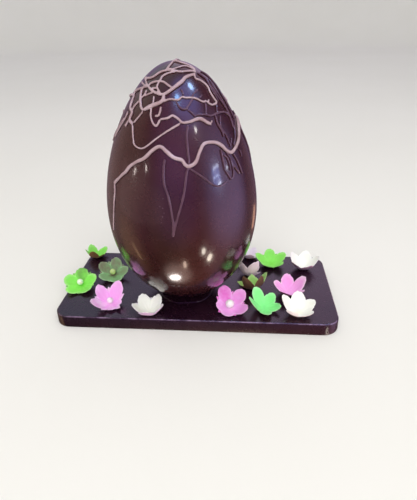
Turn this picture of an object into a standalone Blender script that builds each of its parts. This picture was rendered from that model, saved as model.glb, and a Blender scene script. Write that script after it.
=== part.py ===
"""A moulded dark chocolate egg on a chocolate slab, with milk chocolate drizzle and gum paste blossoms.

The origin is the middle of the slab's underside. +X runs along the slab, -Y is the front, +Z is up.
"""
import math

import bmesh
import bpy
from mathutils import Matrix, Vector

MM = 0.001

# Gap kept between pieces that rest on each other.
GAP = 0.3 * MM
MERGE = 0.01 * MM

# Slab: a moulded bar with round corners, its foot a little wider than its top.
SLAB_LENGTH = 191 * MM
SLAB_DEPTH = 91 * MM
SLAB_HEIGHT = 8.5 * MM
SLAB_CORNER = 11 * MM
SLAB_CORNER_STEPS = 7
SLAB_EDGE = 0.9 * MM
SLAB_DRAFT = 0.4 * MM

# Egg: a turned form, blunt end down.
EGG_X = -8.5 * MM
EGG_Y = -6 * MM
EGG_HEIGHT = 143 * MM
EGG_WIDTH = 46.8 * MM
EGG_TAPER = 0.175
EGG_BELLY = 0.0426
EGG_MIDDLE = 66 * MM
EGG_RINGS = 22
EGG_SIDES = 36
EGG_BASE = SLAB_HEIGHT + GAP

# Foot: the ring of set chocolate that holds the egg.
FOOT_RADIUS = 20.5 * MM
FOOT_HEIGHT = 2.2 * MM
FOOT_LIP = 0.5 * MM
FOOT_SLUMP = 1.6
FOOT_INNER = 0.7 * MM
FOOT_CLEARANCE = 0.5 * MM
FOOT_STEPS = 3
FOOT_SIDES = 32

# Front strands are drawn on a plane that faces a viewer: u to the right and v up, from the egg's base.
DRAW_AZIMUTH = math.radians(8)
DRAW_ELEVATION = math.radians(20)
STRAND_STEP = 4.5 * MM
STRAND_END = 0.75
STRAND_SIDES_LEVEL = 1

# Blossoms: five petals stamped from a thin sheet and cupped.
PETALS = 5
PETAL_SAMPLES = 6
PETAL_RINGS = (0.5, 1.0)
PETAL_THICKNESS = 1.0 * MM
BLOSSOM_CLEARANCE = 0.12 * MM
PEARL_SEGMENTS = 10
PEARL_RINGS = 7

DARK = (0.020, 0.009, 0.010)
MILK = (0.36, 0.20, 0.16)

# Each petal's length and lift as a share of its blossom's; most blossoms have even petals.
EVEN = (1.0, 1.0, 1.0, 1.0, 1.0)

# name: x, y, lean direction, lean, turn of the petals, radius, cup, notch, roundness,
# lengths and lifts of the petals, colour
BLOSSOMS = {
    "blossom_green_corner": (
        -89.5, 36.0, 60, 14, 56, 11.0, 0.70, 0.64, 1.8, (1.0, 1.0, 0.75, 0.8, 0.8), EVEN, (0.22, 0.72, 0.16)),
    "blossom_lime": (
        -87.0, -8.5, -90, 20, 24, 12.4, 0.42, 0.72, 2.2, EVEN, EVEN, (0.25, 0.75, 0.14)),
    "blossom_moss": (
        -67.0, 7.5, -75, 24, 12, 11.8, 0.55, 0.68, 2.0, EVEN, EVEN, (0.16, 0.30, 0.15)),
    "blossom_pink_left": (
        -59.2, -30.5, -65, 20, 71, 12.6, 0.70, 0.62, 1.8, (1.08, 1.0, 1.05, 0.68, 0.65), EVEN,
        (0.85, 0.42, 0.80)),
    "blossom_white_left": (
        -30.3, -38.3, -90, 3, -18, 11.0, 0.80, 0.66, 1.25, EVEN, EVEN, (0.88, 0.86, 0.84)),
    "blossom_pink_front": (
        23.2, -31.0, -80, 24, 45, 12.3, 0.60, 0.66, 2.0, (1.05, 1.05, 0.75, 0.85, 1.05), EVEN,
        (0.84, 0.42, 0.76)),
    "blossom_mint": (
        46.9, -29.0, -70, 18, 57, 11.5, 0.60, 0.56, 1.3, (0.9, 1.1, 1.12, 1.0, 0.92),
        (1.0, 1.0, 1.5, 1.0, 1.0), (0.30, 0.80, 0.38)),
    "blossom_cream": (
        69.2, -33.0, -90, 12, 18, 12.2, 0.75, 0.66, 1.25, (0.92, 0.96, 1.0, 1.0, 1.0),
        (1.0, 1.0, 1.25, 1.0, 1.0), (0.90, 0.88, 0.80)),
    "blossom_pink_right": (
        65.0, -9.8, -70, 6, 27, 11.8, 0.70, 0.66, 1.6, EVEN, (1.35, 1.0, 1.0, 1.0, 1.0), (0.84, 0.44, 0.74)),
    "blossom_white_corner": (
        78.5, 26.5, -90, 4, 2, 11.6, 0.80, 0.70, 1.3, EVEN, (1.15, 1.0, 1.1, 1.0, 1.0), (0.88, 0.86, 0.86)),
    "blossom_green_back": (
        54.5, 31.2, -90, 10, 26, 11.5, 0.55, 0.62, 1.6, (1.05, 1.0, 1.12, 1.0, 1.0), EVEN,
        (0.24, 0.74, 0.14)),
    "blossom_lilac_back": (
        35.5, 41.0, 30, 16, -12, 11.0, 0.62, 0.62, 1.6, (0.75, 1.0, 1.0, 1.0, 1.0), EVEN,
        (0.62, 0.52, 0.72)),
    "blossom_lilac_front": (
        35.5, 9.5, 65, 46, -1, 11.0, 0.75, 0.62, 1.4, (0.8, 0.8, 1.0, 0.88, 1.08), EVEN,
        (0.62, 0.52, 0.72)),
    "blossom_olive": (
        40.3, -6.0, 130, 18, 24, 11.6, 0.85, 0.66, 1.4, (1.0, 0.9, 1.0, 0.85, 0.85),
        (1.0, 1.0, 0.7, 1.1, 1.0), (0.26, 0.42, 0.08)),
}
# name: blossom, radius, colour
PEARLS = {
    "pearl_lime": ("blossom_lime", 2.3, (0.90, 0.92, 0.82)),
    "pearl_moss": ("blossom_moss", 2.3, (0.72, 0.82, 0.40)),
    "pearl_pink_left": ("blossom_pink_left", 2.2, (0.92, 0.82, 0.90)),
    "pearl_pink_front": ("blossom_pink_front", 2.9, (0.92, 0.90, 0.88)),
}

# The wide wave that hangs round the egg, left to right over the front.
WAVE_RADIUS = 1.0
WAVE_FRONT = [
    (-37, 73), (-31.5, 77), (-27, 80.5), (-22.5, 83), (-18, 84.5), (-13.5, 88), (-9.5, 89.5), (-6, 86.5),
    (-3, 84), (1, 82.5), (4.5, 79.5), (8, 81.5), (10.5, 87), (13, 90.5), (18.5, 91), (22, 89.5), (26, 87),
    (29.5, 87.5), (32, 92.5), (32.5, 99), (33, 104),
]
# Round the back the same wave goes by direction, in degrees from the front, and height in mm.
WAVE_BACK = [
    (103, 111), (110, 101), (118, 92), (128, 83), (140, 80), (152, 92), (166, 101), (182, 92), (196, 78),
    (212, 84), (226, 93), (240, 82), (252, 66), (263, 56),
]

# The net over the crown. Each strand: radius in mm, then its points on the drawing plane.
NET_FRONT = {
    "wave_tail": (0.65, [(-37, 74), (-37, 69.5), (-38.5, 63), (-40, 56), (-41.5, 49.5), (-42, 46.5)]),
    "fold": (1.1, [
        (-16, 125.5), (-15.5, 123), (-13, 118.5), (-9, 115), (-7, 114.5), (-3, 116), (1, 119), (4.5, 122.5),
        (10, 125.2),
    ]),
    "brow": (0.7, [
        (-16, 125.5), (-11.5, 124.5), (-7.5, 126.5), (-3.5, 127), (1, 126), (5, 126), (10.5, 127),
    ]),
    "brow_high": (0.6, [(-3.5, 127.5), (-0.5, 128), (4, 129.5), (7.5, 129), (10.3, 127)]),
    "crown_left": (0.65, [(-0.5, 133.3), (-1.5, 131.5), (-3.5, 128.8), (-5, 126.5)]),
    "crown_right": (0.7, [(-0.5, 133.3), (2.5, 132), (7.5, 130), (10, 127.5), (10, 125)]),
    "small_link": (0.65, [(-8, 121), (-6.5, 124), (-3, 125.5), (0.5, 126.3)]),
    "curl": (0.7, [(-14.3, 120), (-11, 121.5), (-6.5, 121), (-4, 119), (-1.5, 117)]),
    "kink": (0.65, [(-8.5, 121.3), (-9.5, 118.3), (-8, 114.7)]),
    "loop": (0.7, [
        (10, 125), (10, 122.5), (13.5, 121.5), (17, 118), (17.3, 116), (20.6, 111.7), (18, 110), (15, 111.5),
    ]),
    "garland": (0.7, [
        (-7, 111.2), (-3.5, 112), (0.5, 111.5), (2.8, 113), (9, 112.5), (13, 111), (15.2, 111.5),
    ]),
    "blob": (1.1, [(-6.5, 114.3), (-7, 111.5), (-12.5, 109.5), (-17, 108)]),
    "link": (0.65, [(-11.5, 116), (-12, 110)]),
    "left_loop": (0.75, [(-17, 108), (-18.5, 110.5), (-18.3, 114), (-18, 117), (-17.5, 119.5)]),
    "left_top": (0.75, [(-22.5, 118.5), (-19.5, 120), (-14.5, 119.8)]),
    "left_slope": (0.65, [(-18, 114), (-15, 116), (-11, 116)]),
    "left_long": (0.8, [
        (-22.2, 118.7), (-23.2, 115), (-24.5, 110.5), (-23.5, 108), (-25, 105.3), (-23.6, 102),
    ]),
    "left_cross": (0.6, [(-18.5, 113.5), (-21.5, 111.5), (-24.2, 110)]),
    "left_low": (0.6, [(-17.2, 107.8), (-20, 105), (-23.6, 102)]),
    "left_end": (0.7, [(-25, 105), (-26.5, 103.5), (-28.2, 101.2)]),
    "left_outer": (0.6, [(-24.5, 110.5), (-28, 106.3), (-32, 102), (-35.5, 98)]),
    "thread": (0.6, [
        (-23.6, 102), (-23.5, 94), (-21, 90), (-16, 90.3), (-9.5, 94.5), (-3, 98), (1.5, 100.8),
    ]),
    "sling": (0.75, [
        (-13, 109), (-13.5, 104.5), (-11, 99.5), (-9.2, 102.5), (-5, 103), (-2.8, 104), (0, 102.5),
        (2.5, 100.5), (6.5, 101),
    ]),
    "sling_end": (1.0, [(5.5, 100.8), (11, 102.5), (17, 100)]),
    "sling_side": (0.65, [(-8, 110.5), (-9, 105.5), (-9.3, 102.5)]),
}
# Round the back the strands go by direction and height as well.
NET_BACK = {
    "back_over": (0.7, [(0, 142.6), (165, 142), (172, 137), (158, 131), (163, 124)]),
    "back_fold": (1.0, [
        (104, 122), (130, 128), (165, 123), (200, 127), (235, 121), (262, 125), (282, 127), (295, 128),
    ]),
    "back_garland": (0.8, [
        (92, 116), (104, 112), (122, 118), (138, 108), (156, 115), (172, 106), (190, 113), (206, 104),
        (222, 112), (240, 104), (256, 112), (272, 119),
    ]),
    "back_drop": (0.7, [(110, 124), (112, 112), (108, 101)]),
    "back_drop_left": (0.7, [(228, 122), (220, 110), (224, 98), (227, 92)]),
}


def clear_scene():
    for item in list(bpy.data.objects):
        bpy.data.objects.remove(item, do_unlink=True)


def new_collection(name):
    collection = bpy.data.collections.new(name)
    bpy.context.scene.collection.children.link(collection)
    return collection


def new_material(name, colour, roughness):
    material = bpy.data.materials.new(name)
    material.use_nodes = True
    shader = material.node_tree.nodes["Principled BSDF"]
    shader.inputs["Base Color"].default_value = (*colour, 1.0)
    shader.inputs["Roughness"].default_value = roughness
    shader.inputs["Metallic"].default_value = 0.0
    material.diffuse_color = (*colour, 1.0)
    return material


def add_object(name, data, collection, material):
    item = bpy.data.objects.new(name, data)
    item.data.materials.append(material)
    collection.objects.link(item)
    return item


def mesh_from_bmesh(name, shape, smooth=True):
    mesh = bpy.data.meshes.new(name)
    shape.to_mesh(mesh)
    shape.free()
    if smooth:
        mesh.shade_smooth()
        mesh.set_sharp_from_angle(angle=math.radians(40))
    return mesh


def turned_mesh(name, profile, sides, collection, material, centre):
    """Turn a profile at +X, listed from top to bottom, round the Z axis."""
    shape = bmesh.new()
    points = [shape.verts.new((radius, 0.0, height)) for radius, height in profile]
    for above, below in zip(points, points[1:]):
        shape.edges.new((above, below))
    item = add_object(name, mesh_from_bmesh(name, shape, smooth=False), collection, material)
    item.location = centre
    screw = item.modifiers.new("Turn", "SCREW")
    screw.axis = "Z"
    screw.angle = math.tau
    screw.steps = sides
    screw.render_steps = sides
    screw.use_merge_vertices = True
    screw.merge_threshold = MERGE
    screw.use_smooth_shade = True
    return item


def egg_radius(height):
    """Radius of the egg at a height over its base."""
    along = min(1.0, max(-1.0, 2.0 * height / EGG_HEIGHT - 1.0))
    body = EGG_WIDTH * math.sqrt(max(0.0, 1.0 - along * along))
    return body * (1.0 - EGG_TAPER * along - EGG_BELLY * along * along)


def egg_normal(point):
    """Outward direction at a point of the egg, measured from the middle of its base."""
    step = 0.5 * MM
    low = max(0.0, point.z - step)
    high = min(EGG_HEIGHT, point.z + step)
    slope = (egg_radius(high) - egg_radius(low)) / (high - low)
    outward = Vector((point.x, point.y, 0.0))
    if outward.length < MERGE:
        return Vector((0.0, 0.0, 1.0))
    outward.normalize()
    return Vector((outward.x, outward.y, -slope)).normalized()


def pull_to_egg(point):
    """Move a point straight out from the egg's middle, or in towards it, on to the egg's surface."""
    middle = Vector((0.0, 0.0, EGG_MIDDLE))
    outward = (point - middle).normalized()
    inside = 0.0
    outside = EGG_HEIGHT
    for _ in range(30):
        reach = (inside + outside) / 2
        place = middle + outward * reach
        if 0.0 < place.z < EGG_HEIGHT and math.hypot(place.x, place.y) < egg_radius(place.z):
            inside = reach
        else:
            outside = reach
    return middle + outward * inside


def front_point(u, v):
    """The first point of the egg under a place on the drawing plane."""
    level = math.cos(DRAW_ELEVATION)
    towards = Vector((
        math.sin(DRAW_AZIMUTH) * level,
        -math.cos(DRAW_AZIMUTH) * level,
        math.sin(DRAW_ELEVATION),
    ))
    right = Vector((math.cos(DRAW_AZIMUTH), math.sin(DRAW_AZIMUTH), 0.0))
    upward = towards.cross(right) * -1.0
    if upward.z < 0.0:
        upward = -upward
    start = right * (u * MM) + upward * (v * MM)
    best = None
    best_gap = None
    distance = 90 * MM
    while distance > -40 * MM:
        point = start + towards * distance
        if 0.0 < point.z < EGG_HEIGHT:
            gap = math.hypot(point.x, point.y) - egg_radius(point.z)
            if best_gap is None or gap < best_gap:
                best = point
                best_gap = gap
            if gap <= 0.0:
                break
        distance -= 0.2 * MM
    return pull_to_egg(best)


def round_point(direction, height):
    """A point of the egg by its direction, in degrees from the front, and its height in mm."""
    angle = math.radians(direction)
    radius = egg_radius(height * MM)
    return Vector((math.sin(angle) * radius, -math.cos(angle) * radius, height * MM))


def smooth_route(points, step):
    """Points at even steps along a smooth curve through the given ones."""
    padded = [points[0] * 2 - points[1]] + points + [points[-1] * 2 - points[-2]]
    fine = []
    for before, start, end, after in zip(padded, padded[1:], padded[2:], padded[3:]):
        count = max(2, round((end - start).length / (0.4 * MM)))
        for index in range(count):
            t = index / count
            bend = (before * -1 + start * 3 - end * 3 + after) * t ** 3
            bend += (before * 2 - start * 5 + end * 4 - after) * t ** 2
            bend += (end - before) * t
            fine.append(start + bend * 0.5)
    fine.append(points[-1])
    length = sum((b - a).length for a, b in zip(fine, fine[1:]))
    count = max(2, round(length / step))
    route = [fine[0]]
    travelled = 0.0
    for a, b in zip(fine, fine[1:]):
        travelled += (b - a).length
        if travelled >= len(route) * length / count and len(route) < count:
            route.append(b)
    route.append(fine[-1])
    return route


def strand_mesh(name, radius, points):
    """A closed tube that lies on the egg along a smooth route."""
    route = [pull_to_egg(point) for point in smooth_route(points, STRAND_STEP)]
    lifted = [point + egg_normal(point) * (radius + GAP * 1.25) for point in route]
    curve = bpy.data.curves.new(name, "CURVE")
    curve.dimensions = "3D"
    curve.bevel_depth = radius
    curve.bevel_resolution = STRAND_SIDES_LEVEL
    curve.use_fill_caps = True
    spline = curve.splines.new("POLY")
    spline.points.add(len(lifted) - 1)
    for index, (place, point) in enumerate(zip(lifted, spline.points)):
        point.co = (*place, 1.0)
        at_end = index in (0, len(lifted) - 1)
        point.radius = STRAND_END if at_end else 1.0
    holder = bpy.data.objects.new(name, curve)
    bpy.context.scene.collection.objects.link(holder)
    bpy.context.view_layer.update()
    evaluated = holder.evaluated_get(bpy.context.evaluated_depsgraph_get())
    mesh = bpy.data.meshes.new_from_object(evaluated)
    bpy.data.objects.remove(holder, do_unlink=True)
    bpy.data.curves.remove(curve)
    shape = bmesh.new()
    shape.from_mesh(mesh)
    bmesh.ops.remove_doubles(shape, verts=shape.verts, dist=MERGE)
    bmesh.ops.recalc_face_normals(shape, faces=shape.faces)
    shape.to_mesh(mesh)
    shape.free()
    mesh.materials.clear()
    return mesh


def add_drizzle(strands, parts, cutters, material):
    """Join the strands, which cross each other, into one body."""
    centre = (EGG_X, EGG_Y, EGG_BASE)
    meshes = [strand_mesh(label, radius * MM, points) for label, radius, points in strands]
    item = add_object("milk_drizzle", meshes[0], parts, material)
    item.location = centre
    for mesh in meshes[1:]:
        cutter = bpy.data.objects.new(mesh.name, mesh)
        cutter.location = centre
        cutter.hide_render = True
        cutter.display_type = "WIRE"
        cutters.objects.link(cutter)
        union = item.modifiers.new("Join", "BOOLEAN")
        union.operation = "UNION"
        union.solver = "EXACT"
        union.object = cutter
    return item


def add_slab(parts, material):
    """A bar with round corners, eased along its top edge."""
    bpy.ops.mesh.primitive_cube_add(size=1.0)
    item = bpy.context.object
    item.name = "slab"
    shape = bmesh.new()
    shape.from_mesh(item.data)
    bmesh.ops.scale(shape, verts=shape.verts, vec=(SLAB_LENGTH, SLAB_DEPTH, SLAB_HEIGHT))
    bmesh.ops.translate(shape, verts=shape.verts, vec=(0.0, 0.0, SLAB_HEIGHT / 2))
    upright = [
        edge for edge in shape.edges
        if abs(edge.verts[0].co.z - edge.verts[1].co.z) > SLAB_HEIGHT / 2
    ]
    bmesh.ops.bevel(
        shape, geom=upright, offset=SLAB_CORNER, segments=SLAB_CORNER_STEPS, profile=0.5, affect="EDGES"
    )
    rim = [edge for edge in shape.edges if all(v.co.z > SLAB_HEIGHT - MERGE for v in edge.verts)]
    bmesh.ops.bevel(shape, geom=rim, offset=SLAB_EDGE, segments=2, profile=0.5, affect="EDGES")
    for vertex in shape.verts:
        if vertex.co.z < MERGE:
            vertex.co.x += math.copysign(SLAB_DRAFT, vertex.co.x)
            vertex.co.y += math.copysign(SLAB_DRAFT, vertex.co.y)
    shape.to_mesh(item.data)
    shape.free()
    item.data.shade_smooth()
    item.data.set_sharp_from_angle(angle=math.radians(30))
    item.data.materials.append(material)
    for holder in list(item.users_collection):
        holder.objects.unlink(item)
    parts.objects.link(item)
    return item


def add_egg(parts, material):
    """The egg as one turned solid."""
    profile = []
    for ring in range(EGG_RINGS + 1):
        along = math.cos(math.pi * ring / EGG_RINGS)
        height = EGG_HEIGHT * (along + 1.0) / 2.0
        at_pole = ring in (0, EGG_RINGS)
        profile.append((0.0 if at_pole else egg_radius(height), height))
    return turned_mesh("egg", profile, EGG_SIDES, parts, material, (EGG_X, EGG_Y, EGG_BASE))


def add_foot(parts, material):
    """A ring of set chocolate that follows the egg on its inner side."""
    inner = []
    for step in range(FOOT_STEPS + 1):
        height = FOOT_INNER + (FOOT_HEIGHT - FOOT_INNER) * step / FOOT_STEPS
        place = Vector((egg_radius(height), 0.0, height))
        inner.append(place + egg_normal(place) * FOOT_CLEARANCE)
    inner[0].z = 0.0
    top = inner[-1]
    profile = [(top.x, top.z)]
    for step in range(1, FOOT_STEPS + 1):
        t = step / FOOT_STEPS
        radius = top.x + (FOOT_RADIUS - top.x) * t
        profile.append((radius, FOOT_LIP + (top.z - FOOT_LIP) * (1.0 - t) ** FOOT_SLUMP))
    profile.append((FOOT_RADIUS, 0.0))
    profile += [(place.x, place.z) for place in inner]
    return turned_mesh("foot", profile, FOOT_SIDES, parts, material, (EGG_X, EGG_Y, SLAB_HEIGHT + GAP))


def petal_outline(angle, notch, roundness, lengths, lifts):
    """Edge of the blossom and lift of its cup, as shares; the notches lie halfway between petals."""
    turn = angle * PETALS / math.tau
    away = abs((turn + 0.5) % 1.0 - 0.5) * 2.0
    petal = math.floor(turn + 0.5) % PETALS
    own = 1.0 - away ** 4
    edge = (1.0 - (1.0 - notch) * away ** roundness) * (1.0 + (lengths[petal] - 1.0) * own)
    return edge, 1.0 + (lifts[petal] - 1.0) * own


def blossom_frame(x, y, lean_to, lean, lift):
    """Place of a blossom that leans towards a direction, with its lowest point on the slab."""
    direction = math.radians(lean_to)
    hinge = Vector((-math.sin(direction), math.cos(direction), 0.0))
    return Matrix.Translation((x * MM, y * MM, lift)) @ Matrix.Rotation(math.radians(lean), 4, hinge)


def add_blossom(name, values, parts):
    """Five cupped petals as one thin solid."""
    x, y, lean_to, lean, turn, radius, cup, notch, roundness, lengths, lifts, colour = values
    shape = bmesh.new()
    centre = shape.verts.new((0.0, 0.0, 0.0))
    spokes = [shape.verts.new((share, 0.0, 0.0)) for share in PETAL_RINGS]
    edges = [shape.edges.new(pair) for pair in zip([centre] + spokes, spokes)]
    bmesh.ops.spin(
        shape, geom=edges + spokes + [centre], cent=(0, 0, 0), axis=(0, 0, 1), angle=math.tau,
        steps=PETALS * PETAL_SAMPLES, use_merge=True,
    )
    bmesh.ops.remove_doubles(shape, verts=shape.verts, dist=0.001)
    for vertex in shape.verts:
        share = math.hypot(vertex.co.x, vertex.co.y)
        angle = math.atan2(vertex.co.y, vertex.co.x)
        edge, lift = petal_outline(angle, notch, roundness, lengths, lifts)
        reach = share * edge
        spread = radius * MM * reach
        height = cup * lift * radius * MM * reach ** 2
        turned = angle + math.radians(turn)
        vertex.co = (spread * math.cos(turned), spread * math.sin(turned), height)
    bmesh.ops.recalc_face_normals(shape, faces=shape.faces)
    leaning = blossom_frame(0.0, 0.0, lean_to, lean, 0.0)
    lowest = min((leaning @ vertex.co).z for vertex in shape.verts)
    stand = SLAB_HEIGHT + GAP + PETAL_THICKNESS / 2 + BLOSSOM_CLEARANCE - lowest
    material = new_material(f"{name}_paste", colour, 0.6)
    item = add_object(name, mesh_from_bmesh(name, shape), parts, material)
    item.matrix_world = blossom_frame(x, y, lean_to, lean, stand)
    solid = item.modifiers.new("Paste", "SOLIDIFY")
    solid.thickness = PETAL_THICKNESS
    solid.offset = 0.0
    solid.use_even_offset = False
    return item


def add_pearl(name, blossom, radius, colour, parts):
    """A sugar pearl set in the throat of a blossom."""
    bpy.ops.mesh.primitive_uv_sphere_add(segments=PEARL_SEGMENTS, ring_count=PEARL_RINGS, radius=radius)
    item = bpy.context.object
    item.name = name
    item.data.shade_smooth()
    item.data.materials.append(new_material(f"{name}_sugar", colour, 0.35))
    for holder in list(item.users_collection):
        holder.objects.unlink(item)
    parts.objects.link(item)
    height = PETAL_THICKNESS / 2 + GAP + radius + BLOSSOM_CLEARANCE
    item.matrix_world = blossom.matrix_world @ Matrix.Translation((0.0, 0.0, height))
    return item


def build():
    clear_scene()
    parts = new_collection("chocolate_egg")
    cutters = new_collection("joining_strands")
    dark = new_material("dark_chocolate", DARK, 0.18)
    milk = new_material("milk_chocolate", MILK, 0.45)
    add_slab(parts, dark)
    add_egg(parts, dark)
    add_foot(parts, dark)

    wave = [front_point(u, v) for u, v in WAVE_FRONT] + [round_point(a, h) for a, h in WAVE_BACK]
    strands = [("wave", WAVE_RADIUS, wave)]
    for label, (radius, points) in NET_FRONT.items():
        strands.append((label, radius, [front_point(u, v) for u, v in points]))
    for label, (radius, points) in NET_BACK.items():
        strands.append((label, radius, [round_point(a, h) for a, h in points]))
    add_drizzle(strands, parts, cutters, milk)

    blossoms = {name: add_blossom(name, values, parts) for name, values in BLOSSOMS.items()}
    for name, (blossom, radius, colour) in PEARLS.items():
        add_pearl(name, blossoms[blossom], radius * MM, colour, parts)
    bpy.context.view_layer.update()


build()
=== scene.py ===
import math
import random

import bpy
import numpy as np
from mathutils import Matrix, Vector, noise


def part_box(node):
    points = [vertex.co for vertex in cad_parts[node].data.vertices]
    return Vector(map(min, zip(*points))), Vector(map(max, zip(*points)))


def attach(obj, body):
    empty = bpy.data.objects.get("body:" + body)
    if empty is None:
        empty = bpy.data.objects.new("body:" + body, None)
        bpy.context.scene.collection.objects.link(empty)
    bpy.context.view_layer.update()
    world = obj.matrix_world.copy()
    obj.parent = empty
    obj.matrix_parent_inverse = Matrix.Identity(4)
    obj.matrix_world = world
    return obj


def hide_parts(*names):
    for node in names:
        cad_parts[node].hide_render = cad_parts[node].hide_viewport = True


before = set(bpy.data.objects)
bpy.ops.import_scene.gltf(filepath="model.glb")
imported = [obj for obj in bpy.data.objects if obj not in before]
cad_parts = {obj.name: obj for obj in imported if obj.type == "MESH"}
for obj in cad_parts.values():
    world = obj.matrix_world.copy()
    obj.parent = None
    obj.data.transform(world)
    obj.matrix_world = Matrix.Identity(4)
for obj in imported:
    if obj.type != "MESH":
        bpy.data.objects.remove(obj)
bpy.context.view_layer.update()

mm = 0.001


def linearColour(hexText):  # sRGB hex to linear RGBA
    channels = [int(hexText[i:i + 2], 16) / 255 for i in (1, 3, 5)]
    linear = [c / 12.92 if c <= 0.04045 else ((c + 0.055) / 1.055) ** 2.4 for c in channels]
    return (*linear, 1.0)


def addNode(tree, kind, settings=None, inputs=None, links=None, stops=None):
    # settings are the node's own fields, inputs its socket values, links what feeds it, stops a ramp's colours
    node = tree.nodes.new(kind)
    for field, value in (settings or {}).items():
        setattr(node, field, value)
    for socket, value in (inputs or {}).items():
        node.inputs[socket].default_value = value
    for socket, source in (links or {}).items():
        tree.links.new(source, node.inputs[socket])
    if stops:
        ramp = node.color_ramp
        while len(ramp.elements) < len(stops):
            ramp.elements.new(0.5)
        for element, (position, hexText) in zip(ramp.elements, stops):
            element.position = position
            element.color = linearColour(hexText)
    return node


def startMaterial(name, fixed):  # a node tree with its Principled shader wired up and its fixed sockets set
    material = bpy.data.materials.new(name)
    material.use_nodes = True
    tree = material.node_tree
    tree.nodes.clear()
    shader = addNode(tree, "ShaderNodeBsdfPrincipled", inputs=fixed)
    addNode(tree, "ShaderNodeOutputMaterial", links={"Surface": shader.outputs["BSDF"]})
    place = addNode(tree, "ShaderNodeTexCoord").outputs["Object"]
    return material, tree, shader, place


def meshPiece(name, verts, faces, material):
    mesh = bpy.data.meshes.new(name)
    mesh.from_pydata([tuple(v) for v in verts], [], [tuple(f) for f in faces])
    mesh.validate()
    mesh.materials.append(material)
    mesh.shade_smooth()
    piece = bpy.data.objects.new(name, mesh)
    bpy.context.collection.objects.link(piece)
    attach(piece, "root")
    return piece


def direction(round_, height):  # degrees round from the front towards +X, and degrees above the table
    side, lift = math.radians(round_), math.radians(height)
    return Vector((math.sin(side) * math.cos(lift), -math.cos(side) * math.cos(lift), math.sin(lift)))


# camera: a little above the egg's shoulder, to the right of its middle
cameraSet = {
    "place": (28.5, -258.9, 171.9),  # mm
    "heading": 4.9,
    "down": 35.8,
    "roll": -1.12,
    "lens": 29.64,
    "rise": 0.12,  # sensor shift, keeps the egg upright with the slab low in the frame
}


def placeCamera():
    data = bpy.data.cameras.new("camera")
    data.lens = cameraSet["lens"]
    data.sensor_width = 36
    data.shift_y = cameraSet["rise"]
    data.clip_start = 0.01
    data.clip_end = 20
    camera = bpy.data.objects.new("camera", data)
    bpy.context.collection.objects.link(camera)
    turn = Matrix.Rotation(math.radians(cameraSet["heading"]), 4, "Z")
    tilt = Matrix.Rotation(math.radians(90 - cameraSet["down"]), 4, "X")
    roll = Matrix.Rotation(math.radians(cameraSet["roll"]), 4, "Z")
    camera.matrix_world = Matrix.Translation(Vector(cameraSet["place"]) * mm) @ turn @ tilt @ roll
    bpy.context.scene.camera = camera


# studio lamps; all but the soft one only put a highlight on polished chocolate
studioSet = {
    "aim": (-8, -6, 80),  # mm, about the egg's middle
    "away": 1.3,  # metres
    "softLamp": (14, 44, 60, 60, 2.1, "#fffdf8", "SQUARE", 0),
    # round from the front, height, degrees wide, degrees tall, brightness, colour, shape, roll
    "lamps": {
        "ceilingPanelRight": (98, 66, 8, 8, 32.0, "#a6cbff", "ELLIPSE", 0),
        "ceilingPanelFront": (9, 69.5, 8, 7, 27.0, "#8fc4ff", "ELLIPSE", 0),
        "ceilingSpot": (47, 43.5, 3.6, 3.4, 34.0, "#fffaf4", "ELLIPSE", 0),
        "windowPane": (64, 13.5, 13, 10, 5.5, "#7c9af4", "RECTANGLE", 0),
        "windowBarTop": (66, 18.2, 11, 1.1, 24.0, "#dfe8ff", "RECTANGLE", 0),
        "windowBarMiddle": (63, 13.4, 10, 0.9, 20.0, "#d3e0ff", "RECTANGLE", 0),
        "windowBarLow": (67, 8.8, 6, 1.5, 26.0, "#e8eeff", "RECTANGLE", 0),
        "windowGap": (86, 12.5, 4, 1.6, 18.0, "#e8eeff", "RECTANGLE", 0),
        "sparkleLeft": (-68, 13, 1.6, 3.4, 30.0, "#fff0ea", "RECTANGLE", 0),
        "sparkleMiddle": (-49, 19, 1.6, 3.0, 34.0, "#fff0ea", "RECTANGLE", 0),
        "greyCard": (-57, -1, 74, 27, 0.32, "#e4c4c8", "RECTANGLE", 0),
        "lowLampWide": (-25, -67, 13, 9, 30.0, "#fff8f2", "ELLIPSE", 0),
        "lowLampA": (38, -36.5, 5.5, 6.5, 24.0, "#fff4e2", "ELLIPSE", 0),
        "lowLampB": (51, -43.5, 6, 8, 22.0, "#fff2de", "ELLIPSE", 0),
        "lowLampC": (6, -50, 4, 8, 13.0, "#ffe2cc", "ELLIPSE", 0),
        "doorGap": (-77, -36, 2.6, 13, 2.2, "#ffcf9e", "RECTANGLE", 16),
        "rimCard": (146, -23, 9, 8, 1.3, "#ffc09a", "RECTANGLE", 0),
    },
}

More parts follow.
